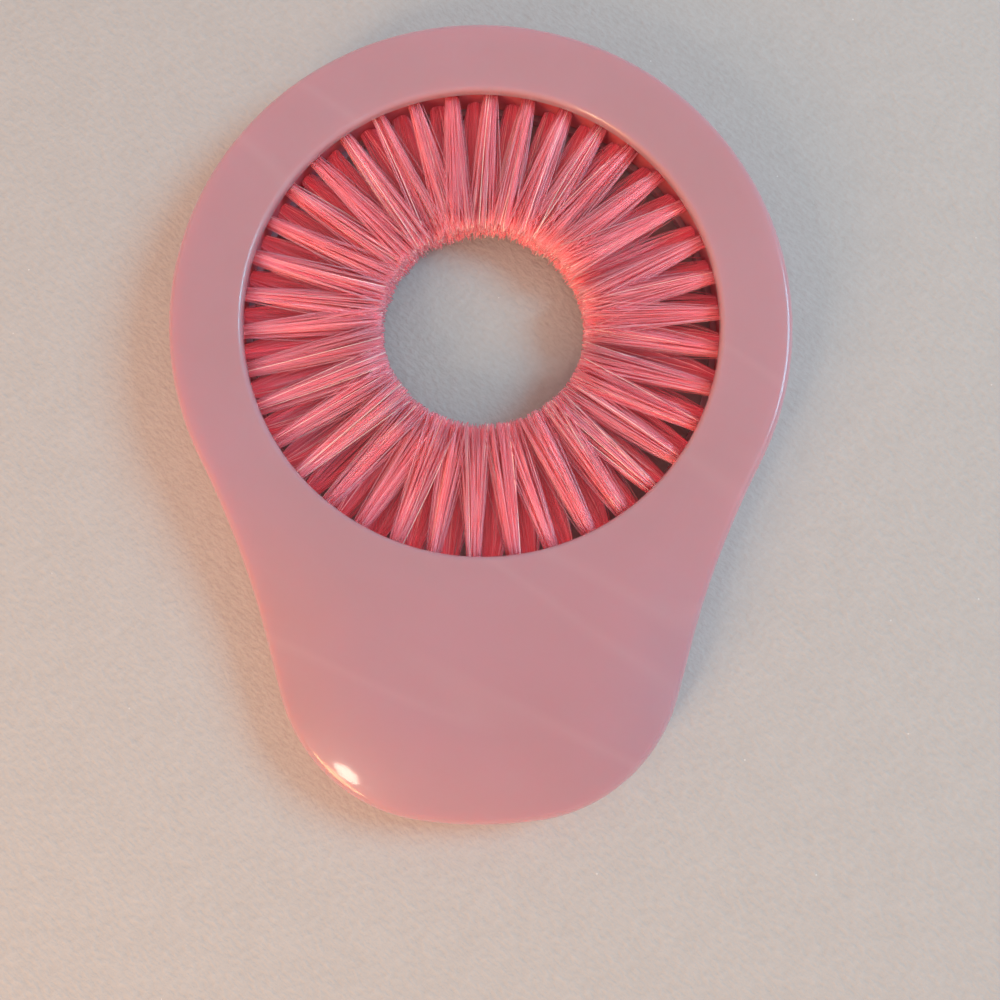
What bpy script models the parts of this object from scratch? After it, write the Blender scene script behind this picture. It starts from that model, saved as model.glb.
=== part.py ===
"""Corn silk brush: a ring of inward bristles held between two moulded shells with a tab handle.

The brush lies flat on its rear face. The ring is towards +Y, the handle towards -Y and the front
face looks along +Z. The origin is the middle of the footprint, on the rear face.
Run with: blender --background --python part.py
"""
import math

import bmesh
import bpy
from mathutils import Matrix, Vector

MM = 0.001

# Outline of the two shells, seen from the front; the handle's flanks touch its corner arcs
OVERALL_THICKNESS = 10.0 * MM
BORE_RADIUS = 33.5 * MM
RING_WIDTH = 10.1 * MM
HANDLE_REACH = 25.8 * MM
HANDLE_END_RADIUS = 58.0 * MM
CORNER_RADIUS = 23.0 * MM
CORNER_OFFSET = 5.0 * MM
FLANK_INSET = 3.8 * MM
THROAT_RADIUS = 110.0 * MM

# Front face: it dips towards the bore and crowns towards the edge of the handle
DISH_REACH = 8.0 * MM
DISH_DEPTH = 0.5 * MM
CROWN_REACH = 13.0 * MM
CROWN_DEPTH = 2.8 * MM
CROWN_FADE_DROP = 22.0 * MM
CROWN_FADE_LENGTH = 30.0 * MM

# Mouldings
FACE_WALL = 2.0 * MM
SIDE_WALL = 2.0 * MM
EDGE_ROUND = 1.1 * MM
LIP_ROUND = 0.7 * MM
FIT_GAP = 0.3 * MM
OVERRUN = 1.0 * MM
LAP_INSET = 0.9 * MM
TONGUE_HEIGHT = 0.8 * MM
RIB_THICKNESS = 1.2 * MM
RIB_RELIEF = 0.1 * MM
RING_WEB_COUNT = 12
HANDLE_RIB_OFFSET = 13.0 * MM
CROSS_RIB_REACH = 10.0 * MM
PIN_DIAMETER = 3.0 * MM
PIN_REACH = 2.2 * MM
BOSS_DIAMETER = 6.4 * MM
UPPER_PIN_REACH = 4.2 * MM
UPPER_PIN_INSET = 9.6 * MM
LOWER_PIN_OFFSET = 6.5 * MM
LOWER_PIN_INSET = 11.5 * MM

# Tufted strip, bent into a ring and sprung outwards against the seat rib
STRIP_THICKNESS = 3.2 * MM
STRIP_SETBACK = 0.75 * MM
TUFTS_PER_ROW = 38
TUFTS_PER_SLICE = 2
ROW_SPACING = 3.0 * MM
STAGGER_SHARE = 0.4
FIRST_TUFT_SHARE = 0.315
HOLE_RADIUS = 0.95 * MM
HOLE_DEPTH = 2.4 * MM

# Bristles: each strand stands for a bunch of fine filaments
TIP_CIRCLE_RADIUS = 14.0 * MM
TIP_UNEVENNESS = 0.7 * MM
STRAND_ROOT_RADIUS = 0.2 * MM
STRAND_TIP_RADIUS = 0.17 * MM
STRAND_LIFT = 0.42 * MM
TIP_LIFT_SHARE = 2.3
STRAND_SPREAD = 0.66 * MM
STRAND_ROOT_BITE = 0.3 * MM
UPPER_STRANDS = 2
LOWER_STRANDS = 3

# Facets
RING_STEPS = 24
THROAT_STEPS = 6
CORNER_STEPS = 9
END_STEPS = 4
EDGE_STEPS = 3
CROWN_STEPS = 4
LIP_STEPS = 3
BORE_STEPS = 76
PIN_STEPS = 14
HOLE_STEPS = 8
STRAND_SIDES = 3
SLICE_STEPS = 3
CREASE_ANGLE = math.radians(32.0)
FLAT_ANGLE = math.radians(0.05)

# Places worked out from the sizes above
RING_OUTER_RADIUS = BORE_RADIUS + RING_WIDTH
RING_CENTRE = Vector((0.0, HANDLE_REACH / 2))
HANDLE_END = RING_CENTRE.y - RING_OUTER_RADIUS - HANDLE_REACH
MID_HEIGHT = OVERALL_THICKNESS / 2
FRONT_RIM = MID_HEIGHT + FIT_GAP / 2
REAR_RIM = MID_HEIGHT - FIT_GAP / 2
TONGUE_TOP = MID_HEIGHT + TONGUE_HEIGHT
CEILING = OVERALL_THICKNESS - FACE_WALL
STRIP_INNER = BORE_RADIUS + STRIP_SETBACK
STRIP_OUTER = STRIP_INNER + STRIP_THICKNESS
STRIP_LOW = FACE_WALL + FIT_GAP
STRIP_HIGH = CEILING - FIT_GAP
SEAT_INNER = STRIP_OUTER + FIT_GAP
SEAT_OUTER = SEAT_INNER + RIB_THICKNESS
CROSS_RIB_DROP = SEAT_OUTER + CROSS_RIB_REACH
UPPER_PIN_DROP = SEAT_OUTER + UPPER_PIN_REACH
PITCH = math.tau / TUFTS_PER_ROW
SLICE_COUNT = TUFTS_PER_ROW // TUFTS_PER_SLICE

# Colours and finishes
SHELL_PINK = (0.70, 0.27, 0.32)
BRISTLE_PINK = (0.72, 0.16, 0.19)


def clear_scene():
    for old in list(bpy.data.objects):
        bpy.data.objects.remove(old, do_unlink=True)


def finish(name, colour, roughness, metallic=0.0):
    material = bpy.data.materials.new(name)
    material.use_nodes = True
    surface = material.node_tree.nodes["Principled BSDF"]
    surface.inputs["Base Color"].default_value = (*colour, 1.0)
    surface.inputs["Roughness"].default_value = roughness
    surface.inputs["Metallic"].default_value = metallic
    return material


def add_object(name, mesh, material=None):
    obj = bpy.data.objects.new(name, mesh)
    bpy.context.scene.collection.objects.link(obj)
    if material and not mesh.materials:
        mesh.materials.append(material)
    return obj


def mesh_from(bm, name):
    bmesh.ops.recalc_face_normals(bm, faces=bm.faces)
    mesh = bpy.data.meshes.new(name)
    bm.to_mesh(mesh)
    bm.free()
    return mesh


def arc(centre, radius, start, end, steps):
    """Points from the angle start to the angle end, both included."""
    turns = (start + (end - start) * i / steps for i in range(steps + 1))
    return [Vector((centre.x + radius * math.cos(a), centre.y + radius * math.sin(a))) for a in turns]


def heading(vector):
    return math.atan2(vector.y, vector.x)


def chord_height(radius, offset):
    return math.sqrt(radius ** 2 - offset ** 2)


def corner_centre():
    """Centre of the right-hand corner arc, which runs on from the handle's end arc."""
    end = HANDLE_END + HANDLE_END_RADIUS
    return Vector((CORNER_OFFSET, end - chord_height(HANDLE_END_RADIUS - CORNER_RADIUS, CORNER_OFFSET)))


def flank_normal():
    """Direction out of the right-hand flank, the line that touches the corner arc on one side
    and passes FLANK_INSET inside the ring's circle on the other."""
    span = corner_centre() - RING_CENTRE
    lean = math.acos((RING_OUTER_RADIUS - FLANK_INSET - CORNER_RADIUS) / span.length)
    turn = heading(span) + lean
    return Vector((math.cos(turn), math.sin(turn)))


def throat_centre():
    """Centre of the right-hand throat arc, which touches the ring's circle and the flank."""
    normal = flank_normal()
    reach = RING_OUTER_RADIUS + THROAT_RADIUS
    down = Vector((normal.y, -normal.x))
    return RING_CENTRE + (reach - FLANK_INSET) * normal + chord_height(reach, reach - FLANK_INSET) * down


def outline(inset):
    """Plan outline, moved inwards by inset: ring, throats, tapered flanks, corners and end."""
    throat, corner = throat_centre(), corner_centre()
    end = Vector((0.0, HANDLE_END + HANDLE_END_RADIUS))
    flank = heading(flank_normal())
    throat_in = heading(RING_CENTRE - throat) % math.tau
    end_in = heading(corner - end)
    half = arc(RING_CENTRE, RING_OUTER_RADIUS - inset, math.pi / 2,
               heading(throat - RING_CENTRE), RING_STEPS)
    half += arc(throat, THROAT_RADIUS + inset, throat_in, math.pi + flank, THROAT_STEPS)[1:]
    half += arc(corner, CORNER_RADIUS - inset, flank, end_in, CORNER_STEPS)
    half += arc(end, HANDLE_END_RADIUS - inset, end_in, -math.pi / 2, END_STEPS)[1:]
    return half + [Vector((-p.x, p.y)) for p in reversed(half[1:-1])]


def crown_drop(y, inset):
    """How far the crowned front face lies below its plane: nothing on the ring, most at the
    edge of the handle, and nothing again at CROWN_REACH inside that edge."""
    share = (RING_CENTRE.y - CROWN_FADE_DROP - y) / CROWN_FADE_LENGTH
    share = min(max(share, 0.0), 1.0)
    share = share * share * (3.0 - 2.0 * share)
    return CROWN_DEPTH * share * (1.0 - min(inset / CROWN_REACH, 1.0)) ** 2


def skin(loops, name, hollow=False):
    """Closed solid through loops of points: its ends are capped, or joined if it is hollow."""
    bm = bmesh.new()
    rings = [[bm.verts.new(point) for point in loop] for loop in loops]
    pairs = list(zip(rings, rings[1:]))
    if hollow:
        pairs.append((rings[-1], rings[0]))
    else:
        bm.faces.new(rings[0])
        bm.faces.new(rings[-1])
    for one, other in pairs:
        for i in range(len(one)):
            j = (i + 1) % len(one)
            bm.faces.new((one[i], one[j], other[j], other[i]))
    return mesh_from(bm, name)


def level(inset, height):
    """Loop of the plan outline at an inset, all at one height."""
    return [(p.x, p.y, height) for p in outline(inset)]


def crowned(inset, height, wall=0.0):
    """Loop of the plan outline at an inset, lowered where the face is crowned; the underside
    of the face follows the crown a wall further in."""
    return [(p.x, p.y, height - crown_drop(p.y, inset + wall)) for p in outline(inset)]


def loft(sections, name, hollow=False):
    """Solid through the plan outline at pairs of inset and height."""
    return skin([level(inset, height) for inset, height in sections], name, hollow)


def turned(profile, name, hollow=False):
    """Solid turned about the ring's axis through pairs of radius and height."""
    half_step = math.pi / BORE_STEPS
    loops = []
    for radius, height in profile:
        circle = arc(RING_CENTRE, radius, half_step, math.tau + half_step, BORE_STEPS)[:-1]
        loops.append([(p.x, p.y, height) for p in circle])
    return skin(loops, name, hollow)


def block(low, high, name, turn=0.0, pivot=(0.0, 0.0, 0.0)):
    """Box between two corners, turned about a vertical line through pivot."""
    size = Vector(high) - Vector(low)
    middle = (Vector(high) + Vector(low)) / 2
    place = Matrix.Translation(Vector(pivot)) @ Matrix.Rotation(turn, 4, "Z")
    place = place @ Matrix.Translation(middle - Vector(pivot)) @ Matrix.Diagonal((*size, 1.0))
    bm = bmesh.new()
    bmesh.ops.create_cube(bm, size=1.0, matrix=place)
    return mesh_from(bm, name)


def post(centre, diameter, low, high, name):
    bm = bmesh.new()
    middle = Matrix.Translation((centre.x, centre.y, (low + high) / 2))
    bmesh.ops.create_cone(bm, cap_ends=True, segments=PIN_STEPS, radius1=diameter / 2,
                          radius2=diameter / 2, depth=high - low, matrix=middle)
    return mesh_from(bm, name)


def shape(target, operation, mesh):
    """Adds a Boolean of mesh to target, with the cutter or adder hidden from the model."""
    helper = add_object(mesh.name, mesh)
    helper.hide_render = True
    helper.display_type = "WIRE"
    change = target.modifiers.new(mesh.name, "BOOLEAN")
    change.operation = operation
    change.solver = "EXACT"
    change.object = helper
    return helper


def settle(target):
    """Applies the modifiers of target and removes their helpers."""
    helpers = [m.object for m in target.modifiers]
    bpy.context.view_layer.update()
    view = target.evaluated_get(bpy.context.evaluated_depsgraph_get())
    mesh = bpy.data.meshes.new_from_object(view)
    target.modifiers.clear()
    target.data = mesh
    for helper in helpers:
        bpy.data.objects.remove(helper, do_unlink=True)
    bm = bmesh.new()
    bm.from_mesh(mesh)
    bmesh.ops.dissolve_limit(bm, angle_limit=FLAT_ANGLE, verts=bm.verts, edges=bm.edges)
    bm.to_mesh(mesh)
    bm.free()
    return mesh


def smooth(mesh):
    mesh.shade_smooth()
    mesh.set_sharp_from_angle(angle=CREASE_ANGLE)


def edge_sections(face, towards):
    """Insets and heights of the rounded outer edge, from the face to the vertical side."""
    sections = []
    for i in range(EDGE_STEPS + 1):
        turn = math.pi / 2 * i / EDGE_STEPS
        inset = EDGE_ROUND * (1 - math.sin(turn))
        sections.append((inset, face + towards * EDGE_ROUND * (1 - math.cos(turn))))
    return sections


def crown_insets(start):
    """Insets across the crown, from its inner end out to start."""
    return [CROWN_REACH + (start - CROWN_REACH) * i / CROWN_STEPS for i in range(CROWN_STEPS + 1)]


def bore_profile(face, inside, towards):
    """Bore cutter whose mouth opens out over the rounded lip on the face."""
    profile = []
    for i in range(LIP_STEPS + 1):
        turn = math.pi / 2 * i / LIP_STEPS
        radius = BORE_RADIUS + LIP_ROUND * (1 - math.sin(turn))
        profile.append((radius, face + towards * LIP_ROUND * (1 - math.cos(turn))))
    profile.append((BORE_RADIUS, inside))
    return profile


def front_bore_profile(inside):
    """Bore cutter that also takes the shallow dish round the bore out of the front face."""
    slope = DISH_DEPTH / DISH_REACH
    lip = OVERALL_THICKNESS - DISH_DEPTH + LIP_ROUND * slope
    mouth = (BORE_RADIUS + DISH_REACH + OVERRUN / slope, OVERALL_THICKNESS + OVERRUN)
    return [mouth] + bore_profile(lip, inside, -1)


def rear_bore_profile(inside):
    return [(BORE_RADIUS + LIP_ROUND, -OVERRUN)] + bore_profile(0.0, inside, 1)


def flank_edge(drop, inset):
    """Half the handle's width, moved inwards by inset, at a drop below the ring's centre."""
    normal = flank_normal()
    return (RING_OUTER_RADIUS - FLANK_INSET - inset + normal.y * drop) / normal.x


def pin_places():
    """Two pins beside the ring and two near the handle's end."""
    upper = Vector((flank_edge(UPPER_PIN_DROP, UPPER_PIN_INSET), RING_CENTRE.y - UPPER_PIN_DROP))
    lower = Vector((LOWER_PIN_OFFSET, HANDLE_END + LOWER_PIN_INSET))
    return [Vector((side * place.x, place.y)) for side in (-1, 1) for place in (upper, lower)]


def span(rim, towards, tier):
    """Heights of a rib from just short of the rim to beyond the face; ribs that cross differ
    in tier, so that their edges do not lie in one plane."""
    edge = rim - towards * RIB_RELIEF * tier
    return sorted((edge, edge - towards * OVERALL_THICKNESS))


def ribs(rim, towards, tag):
    """Seat rib of the strip, webs round the ring, ribs under the handle, and bosses."""
    low, high = span(rim, towards, 1)
    section = [(SEAT_OUTER, low), (SEAT_OUTER, high), (SEAT_INNER, high), (SEAT_INNER, low)]
    parts = [turned(section, "seat_rib" + tag, hollow=True)]

    low, high = span(rim, towards, 2)
    ring_stop = heading(throat_centre() - RING_CENTRE)
    seat_middle = (SEAT_INNER + SEAT_OUTER) / 2
    half = RIB_THICKNESS / 2
    pivot = (RING_CENTRE.x, RING_CENTRE.y, 0.0)
    for i in range(RING_WEB_COUNT):
        turn = math.pi / 2 + math.tau * (i + 0.5) / RING_WEB_COUNT
        if math.sin(turn) < math.sin(ring_stop):
            continue
        near = (seat_middle, RING_CENTRE.y - half, low)
        far = (RING_OUTER_RADIUS, RING_CENTRE.y + half, high)
        parts.append(block(near, far, f"ring_web{tag}_{i}", turn, pivot))

    low, high = span(rim, towards, 3)
    top = RING_CENTRE.y - chord_height(seat_middle, HANDLE_RIB_OFFSET)
    for side in (-1, 1):
        middle = side * HANDLE_RIB_OFFSET
        corners = (middle - half, HANDLE_END, low), (middle + half, top, high)
        parts.append(block(*corners, f"handle_rib{tag}_{side}"))

    low, high = span(rim, towards, 4)
    middle = RING_CENTRE.y - CROSS_RIB_DROP
    corners = (-RING_OUTER_RADIUS, middle - half, low), (RING_OUTER_RADIUS, middle + half, high)
    parts.append(block(*corners, "cross_rib" + tag))

    low, high = span(rim, towards, 5)
    for i, place in enumerate(pin_places()):
        parts.append(post(place, BOSS_DIAMETER, low, high, f"boss{tag}_{i}"))
    return parts


def hollow_with(loops, parts, name):
    """Mesh of the hollow inside a shell, from which its ribs and bosses are taken out."""
    hollow = add_object(name, skin(loops, name))
    for part in parts:
        shape(hollow, "DIFFERENCE", part)
    mesh = settle(hollow)
    bpy.data.objects.remove(hollow, do_unlink=True)
    return mesh


def make_front_shell(material):
    """Front half: crowned and dished face, ribs, pins, and a lap groove inside the rim."""
    loops = [crowned(inset, OVERALL_THICKNESS) for inset in crown_insets(EDGE_ROUND)[:-1]]
    loops += [crowned(*section) for section in edge_sections(OVERALL_THICKNESS, -1)]
    loops.append(level(0.0, FRONT_RIM))
    shell = add_object("front_shell", skin(loops, "front_shell"), material)
    below = FRONT_RIM - OVERRUN
    loops = [crowned(inset, CEILING, SIDE_WALL) for inset in crown_insets(SIDE_WALL)]
    loops.append(level(SIDE_WALL, below))
    hollow = hollow_with(loops, ribs(FRONT_RIM, -1, "_front"), "front_hollow")
    shape(shell, "DIFFERENCE", hollow)
    shape(shell, "DIFFERENCE", turned(front_bore_profile(below), "front_bore"))
    for i, place in enumerate(pin_places()):
        pin = post(place, PIN_DIAMETER, FRONT_RIM - PIN_REACH, CEILING, f"front_pin_{i}")
        shape(shell, "UNION", pin)
    lap_top = TONGUE_TOP + FIT_GAP
    groove_inset = SIDE_WALL + FIT_GAP
    groove = [(LAP_INSET, below), (LAP_INSET, lap_top), (groove_inset, lap_top), (groove_inset, below)]
    shape(shell, "DIFFERENCE", loft(groove, "lap_groove", hollow=True))
    smooth(settle(shell))
    return shell


def make_rear_shell(material):
    """Rear half: flat back, ribs, sockets, and a tongue round the rim."""
    tongue_inset = LAP_INSET + FIT_GAP
    sections = edge_sections(0.0, 1) + [(0.0, REAR_RIM)]
    sections += [(tongue_inset, REAR_RIM), (tongue_inset, TONGUE_TOP)]
    shell = add_object("rear_shell", loft(sections, "rear_shell"), material)
    above = TONGUE_TOP + OVERRUN
    loops = [level(SIDE_WALL, FACE_WALL), level(SIDE_WALL, above)]
    hollow = hollow_with(loops, ribs(REAR_RIM, 1, "_rear"), "rear_hollow")
    shape(shell, "DIFFERENCE", hollow)
    shape(shell, "DIFFERENCE", turned(rear_bore_profile(above), "rear_bore"))
    bottom = FRONT_RIM - PIN_REACH - FIT_GAP
    for i, place in enumerate(pin_places()):
        socket = post(place, PIN_DIAMETER + 2 * FIT_GAP, bottom, above, f"rear_socket_{i}")
        shape(shell, "DIFFERENCE", socket)
    smooth(settle(shell))
    return shell


def row_height(row):
    """Row 0 is the upper row and row 1 the lower one."""
    return MID_HEIGHT + ROW_SPACING * (0.5 - row)


def tuft_angles(row, pitches):
    """Angles of a row's tufts from the first slice on; row 1 is staggered."""
    return [PITCH * (i + FIRST_TUFT_SHARE + STAGGER_SHARE * row) for i in range(pitches)]


def tuft_frame(angle, height):
    """Axes of a tuft: X outwards from the ring's axis, Y across the tuft, Z up."""
    return Matrix.Translation((*RING_CENTRE, height)) @ Matrix.Rotation(angle, 4, "Z")


def add_prism(bm, frame, near, far):
    """Prism between two like polygons, near and far, given in the tuft's frame."""
    rings = [[bm.verts.new(frame @ Vector(point)) for point in loop] for loop in (near, far)]
    bm.faces.new(rings[0])
    bm.faces.new(rings[1])
    for i in range(len(near)):
        j = (i + 1) % len(near)
        bm.faces.new((rings[0][i], rings[0][j], rings[1][j], rings[1][i]))


def make_strip_slice():
    """Slice of the bent strip; its ends slant so that they pass between staggered tufts."""
    half_gap = FIT_GAP / 2 / STRIP_INNER
    corners = ((STRIP_INNER, STRIP_LOW), (STRIP_OUTER, STRIP_LOW),
               (STRIP_OUTER, STRIP_HIGH), (STRIP_INNER, STRIP_HIGH))
    loops = []
    for step in range(SLICE_STEPS + 1):
        loop = []
        for radius, height in corners:
            slant = -PITCH * STAGGER_SHARE * (height - MID_HEIGHT) / ROW_SPACING
            start = slant + half_gap
            end = slant + PITCH * TUFTS_PER_SLICE - half_gap
            angle = start + (end - start) * step / SLICE_STEPS
            spot = RING_CENTRE + radius * Vector((math.cos(angle), math.sin(angle)))
            loop.append((*spot, height))
        loops.append(loop)
    return skin(loops, "strip_slice")


def polygon(x, y, z, radius, sides, first):
    """Regular polygon square to the X axis, with its first corner at the angle first."""
    turns = (first + math.tau * i / sides for i in range(sides))
    return [(x, y + radius * math.cos(turn), z + radius * math.sin(turn)) for turn in turns]


def make_holes():
    """Blind holes of a slice's tufts."""
    bm = bmesh.new()
    mouth = STRIP_INNER - OVERRUN
    bottom = STRIP_INNER + HOLE_DEPTH
    for row in (0, 1):
        for angle in tuft_angles(row, TUFTS_PER_SLICE):
            ends = [polygon(x, 0.0, 0.0, HOLE_RADIUS, HOLE_STEPS, math.pi / HOLE_STEPS)
                    for x in (mouth, bottom)]
            add_prism(bm, tuft_frame(angle, row_height(row)), *ends)
    return mesh_from(bm, "tuft_holes")


def add_strand(bm, frame, cell, side, tip):
    """One tapered strand of a tuft, from inside the strip to its tip.

    cell is its place across the tuft, from -1 to 1, and side is 1 in its upper half, -1 below.
    """
    root = STRIP_INNER + HOLE_DEPTH + STRAND_ROOT_BITE
    tip_half_width = TIP_CIRCLE_RADIUS * PITCH / 2
    ends = ((root, cell * STRAND_SPREAD, side * STRAND_LIFT, STRAND_ROOT_RADIUS),
            (tip, cell * tip_half_width, side * STRAND_LIFT * TIP_LIFT_SHARE, STRAND_TIP_RADIUS))
    loops = [polygon(*end, STRAND_SIDES, side * math.pi / 2) for end in ends]
    add_prism(bm, frame, *loops)


def make_strands():
    """All strands of a slice; they fan out within their own pitch, so that none cross."""
    bm = bmesh.new()
    golden = (math.sqrt(5.0) - 1.0) / 2.0
    number = 0
    for row in (0, 1):
        for angle in tuft_angles(row, TUFTS_PER_SLICE):
            frame = tuft_frame(angle, row_height(row))
            for side, count in ((1, UPPER_STRANDS), (-1, LOWER_STRANDS)):
                for i in range(count):
                    number += 1
                    tip = TIP_CIRCLE_RADIUS + TIP_UNEVENNESS * (number * golden % 1.0)
                    add_strand(bm, frame, (2 * i + 1 - count) / count, side, tip)
    return mesh_from(bm, "strands")


def make_bristle_slices(material):
    """Slices of the tufted strip with their strands, which go round the bore as one ring."""
    slice_mesh = make_strip_slice()
    pattern = add_object("bristle_strip_01", slice_mesh, material)
    shape(pattern, "DIFFERENCE", make_holes())
    shape(pattern, "UNION", make_strands())
    smooth(settle(pattern))
    spot = Matrix.Translation((*RING_CENTRE, 0.0))
    for i in range(1, SLICE_COUNT):
        copy = add_object(f"bristle_strip_{i + 1:02d}", pattern.data)
        turn = Matrix.Rotation(PITCH * TUFTS_PER_SLICE * i, 4, "Z")
        copy.matrix_world = spot @ turn @ spot.inverted()


def main():
    clear_scene()
    shell_plastic = finish("shell_plastic", SHELL_PINK, 0.25)
    make_front_shell(shell_plastic)
    make_rear_shell(shell_plastic)
    make_bristle_slices(finish("bristle_nylon", BRISTLE_PINK, 0.35))


main()
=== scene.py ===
"""Corn silk brush, dressed: smooth translucent shells, the bent tuft strip and fine bristles.

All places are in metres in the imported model's frame: the brush lies on z = 0 with its ring
towards +Y, and its front face looks along +Z.
"""
import math
import random

import bmesh
import bpy
from mathutils import Matrix, Vector


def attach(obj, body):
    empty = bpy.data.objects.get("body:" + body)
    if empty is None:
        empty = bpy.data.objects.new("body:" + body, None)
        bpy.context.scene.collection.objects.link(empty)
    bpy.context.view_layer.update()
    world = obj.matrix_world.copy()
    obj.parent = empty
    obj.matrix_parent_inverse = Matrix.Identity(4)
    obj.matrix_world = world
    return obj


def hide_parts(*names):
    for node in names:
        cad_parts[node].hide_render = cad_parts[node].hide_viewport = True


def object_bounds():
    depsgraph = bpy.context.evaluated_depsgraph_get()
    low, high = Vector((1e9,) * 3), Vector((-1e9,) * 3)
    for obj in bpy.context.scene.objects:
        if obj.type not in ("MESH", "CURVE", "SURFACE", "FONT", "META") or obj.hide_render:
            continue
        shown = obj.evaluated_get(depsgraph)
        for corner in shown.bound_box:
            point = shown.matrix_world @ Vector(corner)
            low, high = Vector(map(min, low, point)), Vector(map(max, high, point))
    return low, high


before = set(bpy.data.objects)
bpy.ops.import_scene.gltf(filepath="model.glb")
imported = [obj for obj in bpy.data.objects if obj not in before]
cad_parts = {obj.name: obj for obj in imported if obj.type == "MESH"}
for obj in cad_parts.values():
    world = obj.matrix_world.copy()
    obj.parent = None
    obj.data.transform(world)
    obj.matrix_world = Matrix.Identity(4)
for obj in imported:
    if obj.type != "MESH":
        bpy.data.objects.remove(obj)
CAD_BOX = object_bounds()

MM = 0.001

# Outline of the two shells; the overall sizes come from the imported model
LOWEST, HIGHEST = CAD_BOX
OVERALL_THICKNESS = HIGHEST.z - LOWEST.z
BORE_RADIUS = 33.5 * MM
RING_WIDTH = 10.1 * MM
RING_OUTER_RADIUS = BORE_RADIUS + RING_WIDTH
RING_CENTRE = Vector((0.0, HIGHEST.y - RING_OUTER_RADIUS))
HANDLE_END = LOWEST.y
HANDLE_END_RADIUS = 58.0 * MM
CORNER_RADIUS = 23.0 * MM
CORNER_OFFSET = 5.0 * MM
FLANK_INSET = 3.8 * MM
THROAT_RADIUS = 110.0 * MM

# Front face: it dips towards the bore and crowns towards the edge of the handle
DISH_REACH = 8.0 * MM
DISH_DEPTH = 0.5 * MM
CROWN_REACH = 13.0 * MM
CROWN_DEPTH = 2.8 * MM
CROWN_FADE_DROP = 22.0 * MM
CROWN_FADE_LENGTH = 30.0 * MM

# Mouldings
FACE_WALL = 2.0 * MM
SIDE_WALL = 2.0 * MM
EDGE_ROUND = 1.1 * MM
LIP_ROUND = 0.7 * MM
FIT_GAP = 0.3 * MM
OVERRUN = 1.0 * MM
LAP_INSET = 0.9 * MM
TONGUE_HEIGHT = 0.8 * MM
RIB_THICKNESS = 1.2 * MM
RIB_RELIEF = 0.1 * MM
RING_WEB_COUNT = 12
HANDLE_RIB_OFFSET = 13.0 * MM
CROSS_RIB_REACH = 10.0 * MM
PIN_DIAMETER = 3.0 * MM
PIN_REACH = 2.2 * MM
BOSS_DIAMETER = 6.4 * MM
UPPER_PIN_REACH = 4.2 * MM
UPPER_PIN_INSET = 9.6 * MM
LOWER_PIN_OFFSET = 6.5 * MM
LOWER_PIN_INSET = 11.5 * MM

# Tufted strip, bent into a ring behind the lips of the bore. The stagger and the first tuft's
# place are shares of the pitch, and the joint's place is a share of a turn from +X
STRIP_THICKNESS = 3.2 * MM
STRIP_SETBACK = 0.75 * MM
TUFTS_PER_ROW = 38
ROW_SPACING = 3.0 * MM
STAGGER_SHARE = 0.4
FIRST_TUFT_SHARE = 0.315
HOLE_RADIUS = 0.95 * MM
HOLE_DEPTH = 2.4 * MM
JOINT_TURN = 0.75

# Bristles: straight nylon filaments, cut to a circle round the passage. Pairs of fan values
# are for the upper and the lower row; an opening under 1 fans a tuft out close to its root
TUFT_SEED = 7
FILAMENTS_PER_TUFT = 93
FILAMENT_RADIUS = 0.067 * MM
FILAMENT_RADIUS_SHARES = (0.85, 1.15)
FILAMENT_ROOT_DEPTH = 1.8 * MM
FILAMENT_SIDES = 6
FILAMENT_RINGS = 5
TUFT_RADIUS = 0.88 * MM
TIP_CIRCLE_RADIUS = 14.35 * MM
TIP_CIRCLE_SHIFT = (0.2 * MM, -0.45 * MM)
TIP_UNEVENNESS = 0.9 * MM
FAN_HALF_WIDTHS = (2.1 * MM, 3.0 * MM)
FAN_OPENINGS = (1.0, 0.6)
FAN_HALF_HEIGHT = 1.5 * MM
TUFT_LEAN = 0.8 * MM
TUFT_LIFT = 0.35 * MM
FILAMENT_WANDER = 0.35 * MM
FILAMENT_BOW = 0.22 * MM
STRAY_SHARE = 0.08
STRAY_REACH = 2.4 * MM
STRAY_LIFT = FAN_HALF_HEIGHT / 2

# Facets
RING_STEPS = 72
THROAT_STEPS = 16
CORNER_STEPS = 20
END_STEPS = 10
EDGE_STEPS = 8
CROWN_STEPS = 10
LIP_STEPS = 7
BORE_STEPS = 228
PIN_STEPS = 24
HOLE_STEPS = 14
FLOOR_STEPS = 96
CREASE_ANGLE = math.radians(32.0)
FLAT_ANGLE = math.radians(0.05)

# Places worked out from the sizes above
MID_HEIGHT = OVERALL_THICKNESS / 2
FRONT_RIM = MID_HEIGHT + FIT_GAP / 2
REAR_RIM = MID_HEIGHT - FIT_GAP / 2
TONGUE_TOP = MID_HEIGHT + TONGUE_HEIGHT
CEILING = OVERALL_THICKNESS - FACE_WALL
STRIP_INNER = BORE_RADIUS + STRIP_SETBACK
STRIP_OUTER = STRIP_INNER + STRIP_THICKNESS
STRIP_LOW = FACE_WALL + FIT_GAP
STRIP_HIGH = CEILING - FIT_GAP
SEAT_INNER = STRIP_OUTER + FIT_GAP
SEAT_OUTER = SEAT_INNER + RIB_THICKNESS
CROSS_RIB_DROP = SEAT_OUTER + CROSS_RIB_REACH
UPPER_PIN_DROP = SEAT_OUTER + UPPER_PIN_REACH
PITCH = math.tau / TUFTS_PER_ROW

# Camera of the photograph: it looks down from a little below the middle of the brush; the
# tilts about X, Y and Z are in degrees, and lens and sensor in millimetres
CAMERA_PLACE = Vector((-0.073, -31.411, 156.3)) * MM
CAMERA_TILT = (7.19, -1.058, 0.252)
CAMERA_LENS = 39.02
CAMERA_SENSOR = 36.0

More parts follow.
